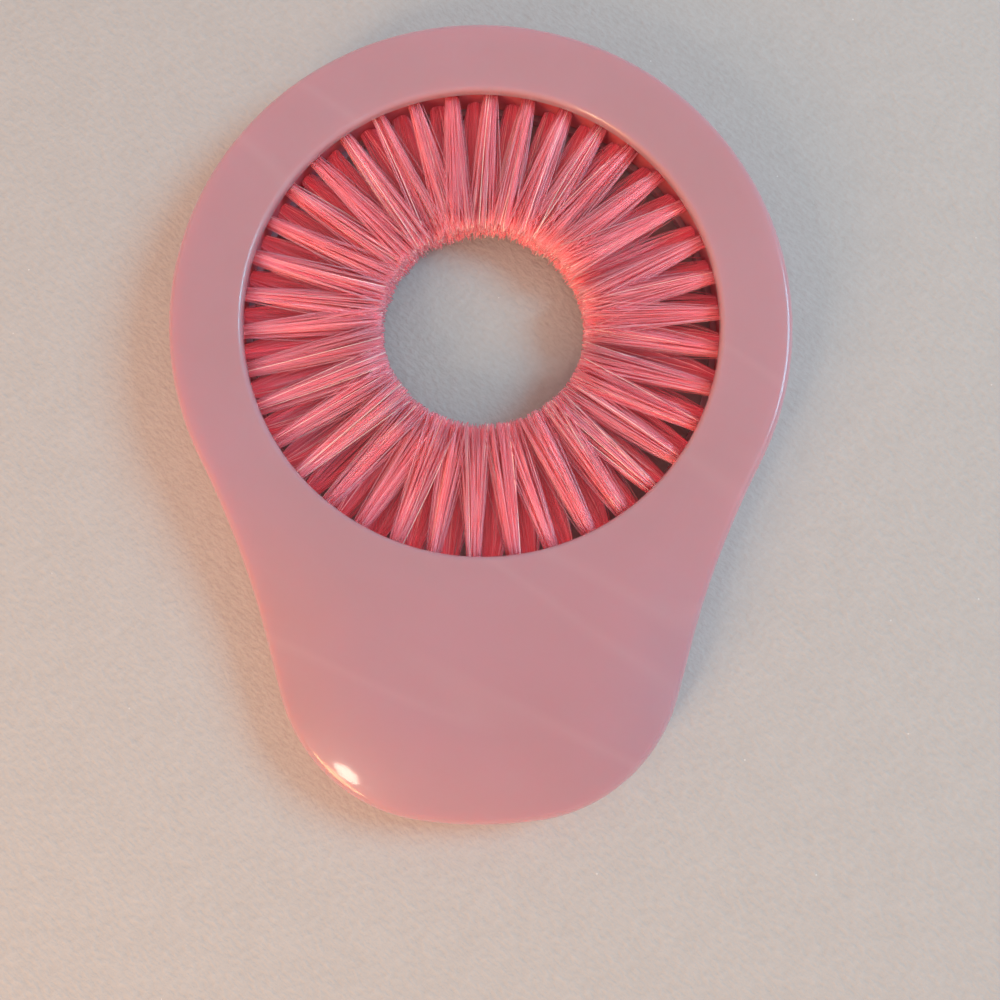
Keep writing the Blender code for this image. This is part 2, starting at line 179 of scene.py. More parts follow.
# Light: a warm lamp from the lower left with a small bulb for its highlight, cool daylight
# from the right, and a pale room; directions in degrees, sizes across, and power in watts
LAMP_AZIMUTH = 231.0
LAMP_ELEVATION = 22.0
LAMP_DISTANCE = 540 * MM
LAMP_SIZE = 190 * MM
LAMP_POWER = 1.06
LAMP_COLOUR = (1.0, 0.50, 0.18)
BULB_AZIMUTH = 233.0
BULB_ELEVATION = 37.0
BULB_DISTANCE = 600 * MM
BULB_SIZE = 84 * MM
BULB_POWER = 0.33
BULB_COLOUR = (1.0, 0.80, 0.62)
WINDOW_AZIMUTH = 16.0
WINDOW_ELEVATION = 42.0
WINDOW_DISTANCE = 900 * MM
WINDOW_SIZE = 380 * MM
WINDOW_POWER = 3.0
WINDOW_COLOUR = (0.2, 0.75, 1.0)
ROOM_COLOUR = (1.0, 0.74, 0.66)
ROOM_STRENGTH = 0.53
FLOOR_RADIUS = 4000 * MM

# Colours, as shares of light given back; the tints, painted light and shade, multiply the handle's
# colour, and the painted glows are added to the nylon's
BLACK = (0.0, 0.0, 0.0)
WHITE = (1.0, 1.0, 1.0)
SHELL_DEEP = (0.73, 0.402, 0.462)
SHELL_PALE = (0.762, 0.422, 0.50)
# Painted reflections: the colour of the faint pale streak lines on the shell
SHELL_PAINTED_REFLECTION = (0.95, 0.66, 0.70)
# Painted lamp light and shade: below the ring the handle's colour is multiplied lighter and warmer
# on the left and darker on the right
LEFT_PAINTED_LAMP_LIGHT = (1.0, 1.0, 0.96)
RIGHT_PAINTED_SHADE = (0.93, 0.88, 0.90)
# The strip's deep red is partly its own colour and partly painted shade, the shade inside the bore
STRIP_DEEP = (0.80, 0.13, 0.17)
STRIP_PALE = (0.90, 0.24, 0.30)
UPPER_DEEP = (0.75, 0.265, 0.33)
UPPER_MID = (0.78, 0.335, 0.405)
UPPER_PALE = (0.83, 0.50, 0.61)
# Painted glints: the brightest tone, given to a few filaments
UPPER_PAINTED_GLINT = (1.0, 0.88, 0.84)
# Painted light: faint emitted glows of the two rows, the lower row's stronger
UPPER_PAINTED_GLOW = (0.012, 0.003, 0.003)
# Painted light: the lower row's tones are a redder copy of the upper row's, standing for the red
# light that reaches it through the upper row
LOWER_PAINTED_DEEP = (0.74, 0.20, 0.25)
LOWER_PAINTED_MID = (0.76, 0.26, 0.32)
LOWER_PAINTED_PALE = (0.79, 0.36, 0.43)
LOWER_PAINTED_GLINT = (1.0, 0.70, 0.68)
LOWER_PAINTED_GLOW = (0.034, 0.011, 0.013)
STREAK_SHADE = (1.0, 0.72, 0.74)
TIP_PALE = (0.97, 0.82, 0.83)
FELT_DEEP = (0.71, 0.69, 0.67)
FELT_PALE = (0.785, 0.77, 0.755)
FELT_PAINTED_GLINT = (0.98, 0.97, 0.95)

# Noise patterns: grain size, detail, stretch along the grain and turn of the grain in radians
SHELL_CLOUD = (22 * MM, 3.0, 1.6, -0.5)
SHELL_REFLECTION_LINES = (14 * MM, 1.0, 9.0, -0.5)
SHELL_WEAR = (3 * MM, 6.0, 1.0, 0.0)
SHELL_SKIN = (1.1 * MM, 2.0, 1.0, 0.0)
STRIP_CLOUD = (2.5 * MM, 3.0, 1.0, 0.0)
NYLON_STREAKS = (4 * MM, 3.0, 1.0, 0.0)
TIP_GRAIN = (0.4 * MM, 3.0, 1.0, 0.0)
FELT_NAP = (0.9 * MM, 4.0, 1.5, 0.6)
FELT_FIBRES = (0.6 * MM, 3.0, 1.9, -0.7)
FELT_PATCHES = (5 * MM, 2.0, 1.0, 0.0)

# Where the patterns pass from one colour to the next, and how strong they are. The felt's painted
# glints are pale dots whose size is a share of their spacing, and only cells brighter than the
# rarity have one
SHELL_CLOUD_EDGES = (0.35, 0.65)
SHELL_REFLECTION_EDGES = (0.56, 0.60, 0.64)
SHELL_REFLECTION_STRENGTH = 0.12
# How far to either side the handle's painted light and shade reach
PAINTED_SHADING_REACH = 26 * MM
CLOUD_EDGES = (0.3, 0.7)
# Tone stops of the nylon; from the last one on, a filament is painted pale as a glint
TONE_EDGES = (0.0, 0.6, 0.945, 0.96)
STREAK_STRENGTH = 0.35
FELT_PATCH_STRENGTH = 0.6
FELT_RANGE = (0.9, 1.7)
PAINTED_GLINT_SPACING = 3.2 * MM
PAINTED_GLINT_SIZE = 0.045
PAINTED_GLINT_RARITY = 0.72

# Gloss, relief (height and strength), and how far red, green and blue light soak in
SHELL_ROUGHNESS = (0.34, 0.46)
SHELL_COAT = 1.0
SHELL_COAT_ROUGHNESS = 0.09
SHELL_RELIEF = (0.01 * MM, 0.35)
SHELL_SOAK = (1.0, 0.42, 0.4)
SHELL_SOAK_SHARE = 1.0
SHELL_SOAK_DEPTH = 3.2 * MM
SHELL_IOR = 1.49
STRIP_ROUGHNESS = 0.4
STRIP_RELIEF = (0.02 * MM, 0.4)
STRIP_SOAK = (1.0, 0.25, 0.25)
STRIP_SOAK_SHARE = 0.6
STRIP_SOAK_DEPTH = 1.5 * MM
NYLON_ROUGHNESS = (0.12, 0.28)
NYLON_SOAK = (1.0, 0.45, 0.45)
NYLON_SOAK_SHARE = 0.85
NYLON_SOAK_DEPTH = 1.3 * MM
NYLON_IOR = 1.53
TIP_ROUGHNESS = 0.5
FELT_ROUGHNESS = 0.95
FELT_RELIEF = (0.4 * MM, 0.38)
FELT_SHEEN = 0.15


def add_object(name, mesh, material=None):
    obj = bpy.data.objects.new(name, mesh)
    bpy.context.scene.collection.objects.link(obj)
    if material and not mesh.materials:
        mesh.materials.append(material)
    return obj


def mesh_from(bm, name):
    bmesh.ops.recalc_face_normals(bm, faces=bm.faces)
    mesh = bpy.data.meshes.new(name)
    bm.to_mesh(mesh)
    bm.free()
    return mesh


def arc(centre, radius, start, end, steps):
    """Points from the angle start to the angle end, both included."""
    points = []
    for i in range(steps + 1):
        turn = start + (end - start) * i / steps
        points.append(Vector((centre.x + radius * math.cos(turn),
                              centre.y + radius * math.sin(turn))))
    return points


def heading(vector):
    return math.atan2(vector.y, vector.x)


def chord_height(radius, offset):
    return math.sqrt(radius ** 2 - offset ** 2)


def corner_centre():
    """Centre of the right-hand corner arc, which runs on from the handle's end arc."""
    end = HANDLE_END + HANDLE_END_RADIUS
    drop = chord_height(HANDLE_END_RADIUS - CORNER_RADIUS, CORNER_OFFSET)
    return Vector((CORNER_OFFSET, end - drop))


def flank_normal():
    """Direction out of the right-hand flank, the line that touches the corner arc on one side
    and passes FLANK_INSET inside the ring's circle on the other."""
    span = corner_centre() - RING_CENTRE
    lean = math.acos((RING_OUTER_RADIUS - FLANK_INSET - CORNER_RADIUS) / span.length)
    turn = heading(span) + lean
    return Vector((math.cos(turn), math.sin(turn)))


def throat_centre():
    """Centre of the right-hand throat arc, which touches the ring's circle and the flank."""
    normal = flank_normal()
    down = Vector((normal.y, -normal.x))
    reach = RING_OUTER_RADIUS + THROAT_RADIUS
    out = reach - FLANK_INSET
    return RING_CENTRE + out * normal + chord_height(reach, out) * down


def outline(inset):
    """Plan outline, moved inwards by inset: ring, throats, tapered flanks, corners and end."""
    throat, corner = throat_centre(), corner_centre()
    end = Vector((0.0, HANDLE_END + HANDLE_END_RADIUS))
    flank = heading(flank_normal())
    throat_in = heading(RING_CENTRE - throat) % math.tau
    end_in = heading(corner - end)
    half = arc(RING_CENTRE, RING_OUTER_RADIUS - inset, math.pi / 2,
               heading(throat - RING_CENTRE), RING_STEPS)
    half += arc(throat, THROAT_RADIUS + inset, throat_in, math.pi + flank, THROAT_STEPS)[1:]
    half += arc(corner, CORNER_RADIUS - inset, flank, end_in, CORNER_STEPS)
    half += arc(end, HANDLE_END_RADIUS - inset, end_in, -math.pi / 2, END_STEPS)[1:]
    return half + [Vector((-p.x, p.y)) for p in reversed(half[1:-1])]


def crown_drop(y, inset):
    """How far the crowned front face lies below its plane: nothing on the ring, most at the
    edge of the handle, and nothing again at CROWN_REACH inside that edge."""
    share = (RING_CENTRE.y - CROWN_FADE_DROP - y) / CROWN_FADE_LENGTH
    share = min(max(share, 0.0), 1.0)
    share = share * share * (3.0 - 2.0 * share)
    return CROWN_DEPTH * share * (1.0 - min(inset / CROWN_REACH, 1.0)) ** 2


def skin(loops, name, hollow=False):
    """Closed solid through loops of points: its ends are capped, or joined if it is hollow."""
    bm = bmesh.new()
    rings = [[bm.verts.new(point) for point in loop] for loop in loops]
    pairs = list(zip(rings, rings[1:]))
    if hollow:
        pairs.append((rings[-1], rings[0]))
    else:
        bm.faces.new(rings[0])
        bm.faces.new(rings[-1])
    for one, other in pairs:
        for i in range(len(one)):
            j = (i + 1) % len(one)
            bm.faces.new((one[i], one[j], other[j], other[i]))
    return mesh_from(bm, name)


def level(inset, height):
    """Loop of the plan outline at an inset, all at one height."""
    return [(p.x, p.y, height) for p in outline(inset)]


def crowned(inset, height, wall=0.0):
    """Loop of the plan outline at an inset, lowered where the face is crowned; the underside
    of the face follows the crown a wall further in."""
    return [(p.x, p.y, height - crown_drop(p.y, inset + wall)) for p in outline(inset)]


def loft(sections, name, hollow=False):
    """Solid through the plan outline at pairs of inset and height."""
    return skin([level(inset, height) for inset, height in sections], name, hollow)


def turned(profile, name, hollow=False):
    """Solid turned about the ring's axis through pairs of radius and height."""
    half_step = math.pi / BORE_STEPS
    loops = []
    for radius, height in profile:
        circle = arc(RING_CENTRE, radius, half_step, math.tau + half_step, BORE_STEPS)[:-1]
        loops.append([(p.x, p.y, height) for p in circle])
    return skin(loops, name, hollow)


def block(low, high, name, turn=0.0, pivot=(0.0, 0.0, 0.0)):
    """Box between two corners, turned about a vertical line through pivot."""
    size = Vector(high) - Vector(low)
    middle = (Vector(high) + Vector(low)) / 2
    place = Matrix.Translation(Vector(pivot)) @ Matrix.Rotation(turn, 4, "Z")
    place = place @ Matrix.Translation(middle - Vector(pivot)) @ Matrix.Diagonal((*size, 1.0))
    bm = bmesh.new()
    bmesh.ops.create_cube(bm, size=1.0, matrix=place)
    return mesh_from(bm, name)


def post(centre, diameter, low, high, name):
    bm = bmesh.new()
    middle = Matrix.Translation((centre.x, centre.y, (low + high) / 2))
    bmesh.ops.create_cone(bm, cap_ends=True, segments=PIN_STEPS, radius1=diameter / 2,
                          radius2=diameter / 2, depth=high - low, matrix=middle)
    return mesh_from(bm, name)


def shape(target, operation, mesh):
    """Adds a Boolean of mesh to target, with the cutter or adder hidden from the model."""
    helper = add_object(mesh.name, mesh)
    helper.hide_render = True
    helper.display_type = "WIRE"
    change = target.modifiers.new(mesh.name, "BOOLEAN")
    change.operation = operation
    change.solver = "EXACT"
    change.object = helper
    return helper


def settle(target):
    """Applies the modifiers of target and removes their helpers."""
    helpers = [m.object for m in target.modifiers]
    bpy.context.view_layer.update()
    view = target.evaluated_get(bpy.context.evaluated_depsgraph_get())
    mesh = bpy.data.meshes.new_from_object(view)
    target.modifiers.clear()
    target.data = mesh
    for helper in helpers:
        bpy.data.objects.remove(helper, do_unlink=True)
    bm = bmesh.new()
    bm.from_mesh(mesh)
    bmesh.ops.dissolve_limit(bm, angle_limit=FLAT_ANGLE, verts=bm.verts, edges=bm.edges)
    bm.to_mesh(mesh)
    bm.free()
    return mesh


def smooth(mesh):
    mesh.shade_smooth()
    mesh.set_sharp_from_angle(angle=CREASE_ANGLE)


def edge_sections(face, towards):
    """Insets and heights of the rounded outer edge, from the face to the vertical side."""
    sections = []
    for i in range(EDGE_STEPS + 1):
        turn = math.pi / 2 * i / EDGE_STEPS
        inset = EDGE_ROUND * (1 - math.sin(turn))
        sections.append((inset, face + towards * EDGE_ROUND * (1 - math.cos(turn))))
    return sections


def crown_insets(start):
    """Insets across the crown, from its inner end out to start."""
    return [CROWN_REACH + (start - CROWN_REACH) * i / CROWN_STEPS for i in range(CROWN_STEPS + 1)]


def bore_profile(face, inside, towards):
    """Bore cutter whose mouth opens out over the rounded lip on the face."""
    profile = []
    for i in range(LIP_STEPS + 1):
        turn = math.pi / 2 * i / LIP_STEPS
        radius = BORE_RADIUS + LIP_ROUND * (1 - math.sin(turn))
        profile.append((radius, face + towards * LIP_ROUND * (1 - math.cos(turn))))
    profile.append((BORE_RADIUS, inside))
    return profile


def front_bore_profile(inside):
    """Bore cutter that also takes the shallow dish round the bore out of the front face."""
    slope = DISH_DEPTH / DISH_REACH
    lip = OVERALL_THICKNESS - DISH_DEPTH + LIP_ROUND * slope
    mouth = (BORE_RADIUS + DISH_REACH + OVERRUN / slope, OVERALL_THICKNESS + OVERRUN)
    return [mouth] + bore_profile(lip, inside, -1)


def rear_bore_profile(inside):
    return [(BORE_RADIUS + LIP_ROUND, -OVERRUN)] + bore_profile(0.0, inside, 1)


def flank_edge(drop, inset):
    """Half the handle's width, moved inwards by inset, at a drop below the ring's centre."""
    normal = flank_normal()
    return (RING_OUTER_RADIUS - FLANK_INSET - inset + normal.y * drop) / normal.x


def pin_places():
    """Two pins beside the ring and two near the handle's end."""
    upper = Vector((flank_edge(UPPER_PIN_DROP, UPPER_PIN_INSET), RING_CENTRE.y - UPPER_PIN_DROP))
    lower = Vector((LOWER_PIN_OFFSET, HANDLE_END + LOWER_PIN_INSET))
    return [Vector((side * place.x, place.y)) for side in (-1, 1) for place in (upper, lower)]


def span(rim, towards, tier):
    """Heights of a rib from just short of the rim to beyond the face; ribs that cross differ
    in tier, so that their edges do not lie in one plane."""
    edge = rim - towards * RIB_RELIEF * tier
    return sorted((edge, edge - towards * OVERALL_THICKNESS))


def ribs(rim, towards, tag):
    """Seat rib of the strip, webs round the ring, ribs under the handle, and bosses."""
    low, high = span(rim, towards, 1)
    section = [(SEAT_OUTER, low), (SEAT_OUTER, high), (SEAT_INNER, high), (SEAT_INNER, low)]
    parts = [turned(section, "seat_rib" + tag, hollow=True)]

    low, high = span(rim, towards, 2)
    ring_stop = heading(throat_centre() - RING_CENTRE)
    seat_middle = (SEAT_INNER + SEAT_OUTER) / 2
    half = RIB_THICKNESS / 2
    pivot = (RING_CENTRE.x, RING_CENTRE.y, 0.0)
    for i in range(RING_WEB_COUNT):
        turn = math.pi / 2 + math.tau * (i + 0.5) / RING_WEB_COUNT
        if math.sin(turn) < math.sin(ring_stop):
            continue
        near = (seat_middle, RING_CENTRE.y - half, low)
        far = (RING_OUTER_RADIUS, RING_CENTRE.y + half, high)
        parts.append(block(near, far, f"ring_web{tag}_{i}", turn, pivot))

    low, high = span(rim, towards, 3)
    top = RING_CENTRE.y - chord_height(seat_middle, HANDLE_RIB_OFFSET)
    for side in (-1, 1):
        middle = side * HANDLE_RIB_OFFSET
        corners = (middle - half, HANDLE_END, low), (middle + half, top, high)
        parts.append(block(*corners, f"handle_rib{tag}_{side}"))

    low, high = span(rim, towards, 4)
    middle = RING_CENTRE.y - CROSS_RIB_DROP
    corners = (-RING_OUTER_RADIUS, middle - half, low), (RING_OUTER_RADIUS, middle + half, high)
    parts.append(block(*corners, "cross_rib" + tag))

    low, high = span(rim, towards, 5)
    for i, place in enumerate(pin_places()):
        parts.append(post(place, BOSS_DIAMETER, low, high, f"boss{tag}_{i}"))
    return parts


def hollow_with(loops, parts, name):
    """Mesh of the hollow inside a shell, from which its ribs and bosses are taken out."""
    hollow = add_object(name, skin(loops, name))
    for part in parts:
        shape(hollow, "DIFFERENCE", part)
    mesh = settle(hollow)
    bpy.data.objects.remove(hollow, do_unlink=True)
    return mesh


def make_front_shell(material):
    """Front half: crowned and dished face, ribs, pins, and a lap groove inside the rim."""
    loops = [crowned(inset, OVERALL_THICKNESS) for inset in crown_insets(EDGE_ROUND)[:-1]]
    loops += [crowned(*section) for section in edge_sections(OVERALL_THICKNESS, -1)]
    loops.append(level(0.0, FRONT_RIM))
    shell = add_object("front_shell", skin(loops, "front_shell"), material)
    below = FRONT_RIM - OVERRUN
    loops = [crowned(inset, CEILING, SIDE_WALL) for inset in crown_insets(SIDE_WALL)]
    loops.append(level(SIDE_WALL, below))
    hollow = hollow_with(loops, ribs(FRONT_RIM, -1, "_front"), "front_hollow")
    shape(shell, "DIFFERENCE", hollow)
    shape(shell, "DIFFERENCE", turned(front_bore_profile(below), "front_bore"))
    for i, place in enumerate(pin_places()):
        pin = post(place, PIN_DIAMETER, FRONT_RIM - PIN_REACH, CEILING, f"front_pin_{i}")
        shape(shell, "UNION", pin)
    lap_top = TONGUE_TOP + FIT_GAP
    lap_inner = SIDE_WALL + FIT_GAP
    groove = [(LAP_INSET, below), (LAP_INSET, lap_top), (lap_inner, lap_top), (lap_inner, below)]
    shape(shell, "DIFFERENCE", loft(groove, "lap_groove", hollow=True))
    smooth(settle(shell))
    return shell


def make_rear_shell(material):
    """Rear half: flat back, ribs, sockets, and a tongue round the rim."""
    tongue_inset = LAP_INSET + FIT_GAP
    sections = edge_sections(0.0, 1) + [(0.0, REAR_RIM)]
    sections += [(tongue_inset, REAR_RIM), (tongue_inset, TONGUE_TOP)]
    shell = add_object("rear_shell", loft(sections, "rear_shell"), material)
    above = TONGUE_TOP + OVERRUN
    loops = [level(SIDE_WALL, FACE_WALL), level(SIDE_WALL, above)]
    hollow = hollow_with(loops, ribs(REAR_RIM, 1, "_rear"), "rear_hollow")
    shape(shell, "DIFFERENCE", hollow)
    shape(shell, "DIFFERENCE", turned(rear_bore_profile(above), "rear_bore"))
    bottom = FRONT_RIM - PIN_REACH - FIT_GAP
    for i, place in enumerate(pin_places()):
        socket = post(place, PIN_DIAMETER + 2 * FIT_GAP, bottom, above, f"rear_socket_{i}")
        shape(shell, "DIFFERENCE", socket)
    smooth(settle(shell))
    return shell


def row_height(row):
    """Row 0 is the upper row and row 1 the lower one."""
    return MID_HEIGHT + ROW_SPACING * (0.5 - row)


def tuft_angles(row):
    return [PITCH * (i + FIRST_TUFT_SHARE + STAGGER_SHARE * row) for i in range(TUFTS_PER_ROW)]


def tuft_frame(angle, height):
    """Axes of a tuft: X outwards from the ring's axis, Y across the tuft, Z up."""
    return Matrix.Translation((*RING_CENTRE, height)) @ Matrix.Rotation(angle, 4, "Z")


def make_holes():
    """Blind holes of all tufts."""
    bm = bmesh.new()
    depth = HOLE_DEPTH + OVERRUN
    centre = STRIP_INNER + (HOLE_DEPTH - OVERRUN) / 2
    lie_down = Matrix.Rotation(math.pi / 2, 4, "Y")
    for row in (0, 1):
        for angle in tuft_angles(row):
            place = tuft_frame(angle, row_height(row)) @ Matrix.Translation((centre, 0.0, 0.0))
            bmesh.ops.create_cone(bm, cap_ends=True, segments=HOLE_STEPS, radius1=HOLE_RADIUS,
                                  radius2=HOLE_RADIUS, depth=depth, matrix=place @ lie_down)
    return mesh_from(bm, "tuft_holes")


def make_strip(material):
    """The strip bent into a ring; its two ends meet on the handle's side, halfway between a
    lower tuft and the next upper one."""
    section = [(STRIP_OUTER, STRIP_LOW), (STRIP_OUTER, STRIP_HIGH),
               (STRIP_INNER, STRIP_HIGH), (STRIP_INNER, STRIP_LOW)]
    strip = add_object("tuft_strip", turned(section, "tuft_strip", hollow=True), material)
    shape(strip, "DIFFERENCE", make_holes())
    near = (STRIP_INNER - OVERRUN, RING_CENTRE.y - FIT_GAP / 4, 0.0)
    far = (STRIP_OUTER + OVERRUN, RING_CENTRE.y + FIT_GAP / 4, OVERALL_THICKNESS)
    pivot = (RING_CENTRE.x, RING_CENTRE.y, 0.0)
    lower, next_upper = FIRST_TUFT_SHARE + STAGGER_SHARE, FIRST_TUFT_SHARE + 1.0
    joint = PITCH * (math.floor(JOINT_TURN * TUFTS_PER_ROW) + (lower + next_upper) / 2)
    shape(strip, "DIFFERENCE", block(near, far, "strip_joint", joint, pivot))
    smooth(settle(strip))
    return strip


def filament_path(dice, row, tip_circle, lean, lift):
    """Points along one filament in its tuft's frame, from inside the strip to the cut tip."""
    spot = TUFT_RADIUS * math.sqrt(dice.random())
    turn = math.tau * dice.random()
    across, up = spot * math.cos(turn), spot * math.sin(turn)
    tip = tip_circle + TIP_UNEVENNESS * dice.random() ** 2
    root = STRIP_INNER + FILAMENT_ROOT_DEPTH
    fan_across = across / TUFT_RADIUS * FAN_HALF_WIDTHS[row]
    fan_up = up / TUFT_RADIUS * FAN_HALF_HEIGHT
    tip_across = fan_across + lean + dice.gauss(0.0, FILAMENT_WANDER)
    tip_up = fan_up + lift + dice.gauss(0.0, FILAMENT_WANDER)
    if dice.random() < STRAY_SHARE:
        tip_across += dice.uniform(-STRAY_REACH, STRAY_REACH)
        tip_up += dice.uniform(0.0, STRAY_LIFT)
    bow = dice.gauss(0.0, FILAMENT_BOW)
    path = []
    for i in range(FILAMENT_RINGS):
        way = i / (FILAMENT_RINGS - 1)
        spread = way ** FAN_OPENINGS[row]
        bend = bow * math.sin(math.pi * way)
        path.append((root + (tip - root) * way,
                     across + (tip_across - across) * spread + bend,
                     up + (tip_up - up) * way + bend / 2))
    return path


def filament_faces(first):
    """Faces of the filament whose points start at first; the cut end comes last."""
    faces = []
    for ring in range(FILAMENT_RINGS - 1):
        low = first + ring * FILAMENT_SIDES
        high = low + FILAMENT_SIDES
        for j in range(FILAMENT_SIDES):
            k = (j + 1) % FILAMENT_SIDES
            faces.append((low + k, low + j, high + j, high + k))
    last = first + (FILAMENT_RINGS - 1) * FILAMENT_SIDES
    faces.append(tuple(range(first, first + FILAMENT_SIDES)))
    faces.append(tuple(range(last + FILAMENT_SIDES - 1, last - 1, -1)))
    return faces


def make_tufts(row, name, skin_material, tip_material):
    """All filaments of one row as one piece; their cut ends have the second material."""
    dice = random.Random(TUFT_SEED + row)
    aside, ahead = TIP_CIRCLE_SHIFT
    circle = [(math.cos(math.tau * j / FILAMENT_SIDES), math.sin(math.tau * j / FILAMENT_SIDES))
              for j in range(FILAMENT_SIDES)]
    points, faces, ends = [], [], []
    for angle in tuft_angles(row):
        place = tuft_frame(angle, row_height(row))
        tip_circle = TIP_CIRCLE_RADIUS + aside * math.cos(angle) + ahead * math.sin(angle)
        lean = dice.gauss(0.0, TUFT_LEAN)
        lift = dice.gauss(0.0, TUFT_LIFT)
        for _ in range(FILAMENTS_PER_TUFT):
            faces += filament_faces(len(points))
            ends.append(len(faces) - 1)
            radius = FILAMENT_RADIUS * dice.uniform(*FILAMENT_RADIUS_SHARES)
            for x, y, z in filament_path(dice, row, tip_circle, lean, lift):
                points += [place @ Vector((x, y + radius * a, z + radius * b)) for a, b in circle]
    mesh = bpy.data.meshes.new(name)
    mesh.from_pydata(points, [], faces)
    mesh.materials.append(skin_material)
    mesh.materials.append(tip_material)
    mesh.shade_smooth()
    for end in ends:
        mesh.polygons[end].material_index = 1
        mesh.polygons[end].use_smooth = False
    return add_object(name, mesh)


def new_material(name):
    """Material with its nodes, links, shader and object coordinates at hand."""
    material = bpy.data.materials.new(name)
    material.use_nodes = True
    nodes, links = material.node_tree.nodes, material.node_tree.links
    place = nodes.new("ShaderNodeTexCoord").outputs["Object"]
    return material, nodes, links, nodes["Principled BSDF"], place


def add_noise(nodes, links, place, pattern):
    """Noise whose features are about one grain across, stretched and then turned."""
    grain, detail, stretch, turn = pattern
    mapping = nodes.new("ShaderNodeMapping")
    mapping.vector_type = "TEXTURE"
    mapping.inputs["Scale"].default_value = (stretch, 1.0, 1.0)
    mapping.inputs["Rotation"].default_value = (0.0, 0.0, turn)
    noise = nodes.new("ShaderNodeTexNoise")
    noise.inputs["Scale"].default_value = 1.0 / grain
    noise.inputs["Detail"].default_value = detail
    links.new(place, mapping.inputs["Vector"])
    links.new(mapping.outputs["Vector"], noise.inputs["Vector"])
    return noise.outputs["Fac"]


def add_ramp(nodes, links, source, positions, colours):
    """Colour ramp that passes through the colours at the positions."""
    ramp = nodes.new("ShaderNodeValToRGB")
    while len(ramp.color_ramp.elements) < len(positions):
        ramp.color_ramp.elements.new(1.0)
    for element, position, colour in zip(ramp.color_ramp.elements, positions, colours):
        element.position = position
        element.color = (*colour, 1.0)
    links.new(source, ramp.inputs["Fac"])
    return ramp.outputs["Color"]


def add_range(nodes, links, source, low, high):
    """Maps a value between 0 and 1 onto low to high."""
    scale = nodes.new("ShaderNodeMapRange")
    scale.inputs["To Min"].default_value = low
    scale.inputs["To Max"].default_value = high
    links.new(source, scale.inputs["Value"])
    return scale.outputs["Result"]


def add_share(nodes, links, source, start, end, course="LINEAR"):
    """Share of the way that a value has gone from start to end, kept between 0 and 1."""
    share = nodes.new("ShaderNodeMapRange")
    share.interpolation_type = course
    share.inputs["From Min"].default_value = start
    share.inputs["From Max"].default_value = end
    links.new(source, share.inputs["Value"])
    return share.outputs["Result"]


def add_mix(nodes, links, factor, one, other, blend="MIX"):
    """Mix of two colours; factor and other may be outputs or plain values."""
    mix = nodes.new("ShaderNodeMix")
    mix.data_type = "RGBA"
    mix.blend_type = blend
    links.new(one, mix.inputs["A"])
    if isinstance(factor, float):
        mix.inputs["Factor"].default_value = factor
    else:
        links.new(factor, mix.inputs["Factor"])
    if isinstance(other, tuple):
        mix.inputs["B"].default_value = (*other, 1.0)
    else:
        links.new(other, mix.inputs["B"])
    return mix.outputs["Result"]


def add_math(nodes, links, operation, *values):
    """Math node over outputs of other nodes and plain numbers."""
    node = nodes.new("ShaderNodeMath")
    node.operation = operation
    for socket, value in zip(node.inputs, values):
        if isinstance(value, float):
            socket.default_value = value
        else:
            links.new(value, socket)
    return node.outputs["Value"]


def add_relief(nodes, links, source, shader, relief):
    """Bump on the shader; relief is a pair of height and strength."""
    height, strength = relief
    bump = nodes.new("ShaderNodeBump")
    bump.inputs["Distance"].default_value = height
    bump.inputs["Strength"].default_value = strength
    links.new(source, bump.inputs["Height"])
    links.new(bump.outputs["Normal"], shader.inputs["Normal"])


def let_light_in(shader, share, colour_reach, depth):
    """Light soaks in to a depth, and red, green and blue reach their own shares of it."""
    shader.inputs["Subsurface Weight"].default_value = share
    shader.inputs["Subsurface Radius"].default_value = colour_reach
    shader.inputs["Subsurface Scale"].default_value = depth


